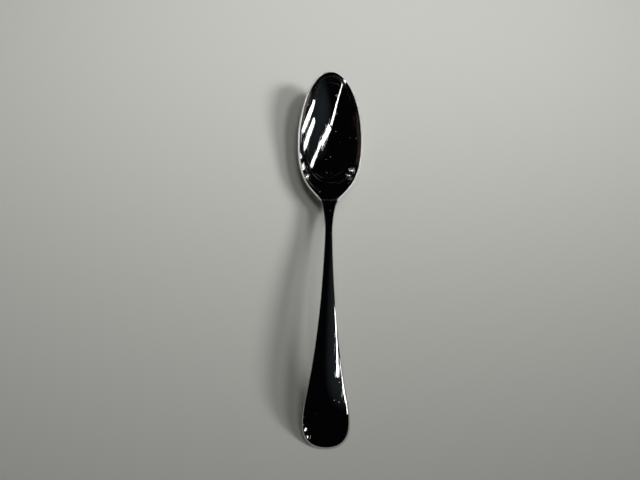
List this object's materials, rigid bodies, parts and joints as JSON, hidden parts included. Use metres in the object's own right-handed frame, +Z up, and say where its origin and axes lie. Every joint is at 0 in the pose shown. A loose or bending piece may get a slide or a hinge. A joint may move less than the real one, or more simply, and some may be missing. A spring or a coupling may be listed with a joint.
{
  "type": "dessert spoon",
  "caption": "Slim polished steel dessert spoon with a long oval bowl and a turned-down handle that widens to a rounded end, for eating and serving.",
  "frame": {"origin": "on the table, under the middle of the spoon's length and width, with the spoon lying face up", "axes": "+Y along the spoon towards the tip of the bowl, +X to the right seen from the handle's end, +Z up out of the bowl"},
  "size_m": [0.0336, 0.1854, 0.014],
  "materials": {
    "bowl_steel": "mirror-polished stainless steel with fine hairline scratches from use",
    "handle_steel": "mirror-polished stainless steel with fine hairline scratches from use"
  },
  "bodies": {
    "root": {"bowl": "bowl_steel", "handle": "handle_steel"}
  },
  "joints": []
}
